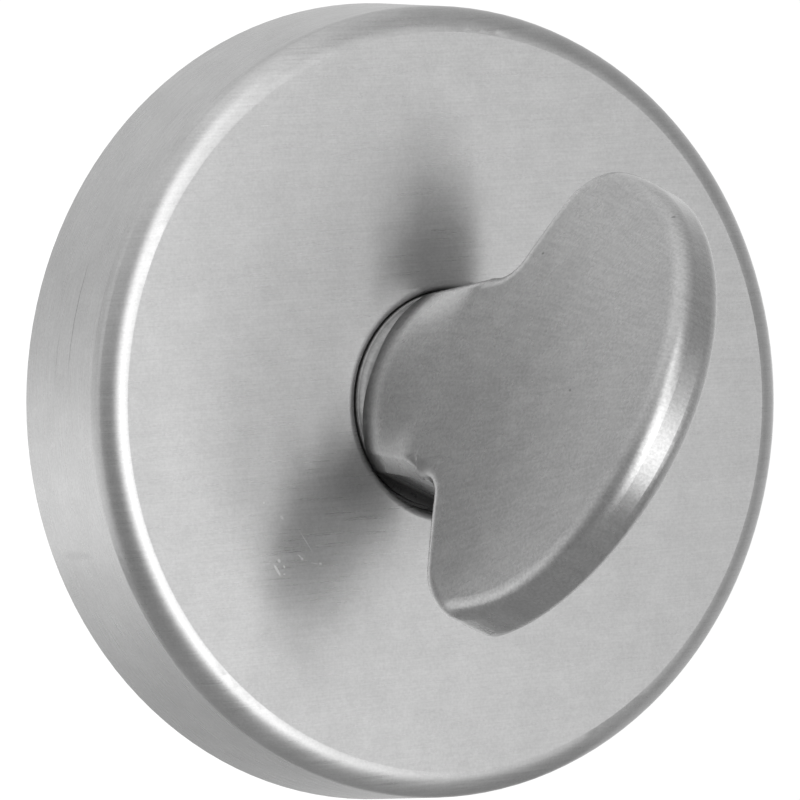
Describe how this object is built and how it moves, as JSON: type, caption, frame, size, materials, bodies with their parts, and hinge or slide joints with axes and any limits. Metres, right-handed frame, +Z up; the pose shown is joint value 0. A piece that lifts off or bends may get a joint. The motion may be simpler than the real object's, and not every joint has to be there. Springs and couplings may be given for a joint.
{
  "type": "bathroom thumb turn lock",
  "caption": "Round satin steel rose with a wing-shaped thumb turn on a square spindle, fixed through the door with machine screws.",
  "frame": {"origin": "centre of the plane where the rose meets the door, on the axis of the turn", "axes": "+X to the right, +Z up, -Y out of the door towards the user, +Y into the door"},
  "size_m": [0.052, 0.071, 0.052],
  "materials": {
    "cover_steel": "satin, brushed",
    "turn_steel": "satin cast stainless",
    "nylon": "moulded, matt",
    "bush_plastic": "moulded, smooth, black",
    "zinc_steel": "zinc plated",
    "spring_steel": "hardened, oiled"
  },
  "bodies": {
    "rose": {"rose_cover": "cover_steel", "mounting_plate": "nylon", "reinforcing_plate": "zinc_steel", "neck_bush": "bush_plastic", "fixing_screw_upper": "zinc_steel", "fixing_screw_lower": "zinc_steel", "cover_clip_1": "spring_steel", "cover_clip_2": "spring_steel", "cover_clip_3": "spring_steel"},
    "turn": {"thumb_turn": "turn_steel", "spindle": "zinc_steel", "spindle_grub_screw": "spring_steel", "slip_washer": "bush_plastic", "stop_washer": "zinc_steel", "spring_washer": "spring_steel", "circlip": "spring_steel"}
  },
  "joints": [
    {"name": "turn", "type": "hinge", "parent": "rose", "child": "turn", "pos_m": [0, 0, 0], "axis": [0, -1, 0], "range_deg": [-66, 24]}
  ]
}
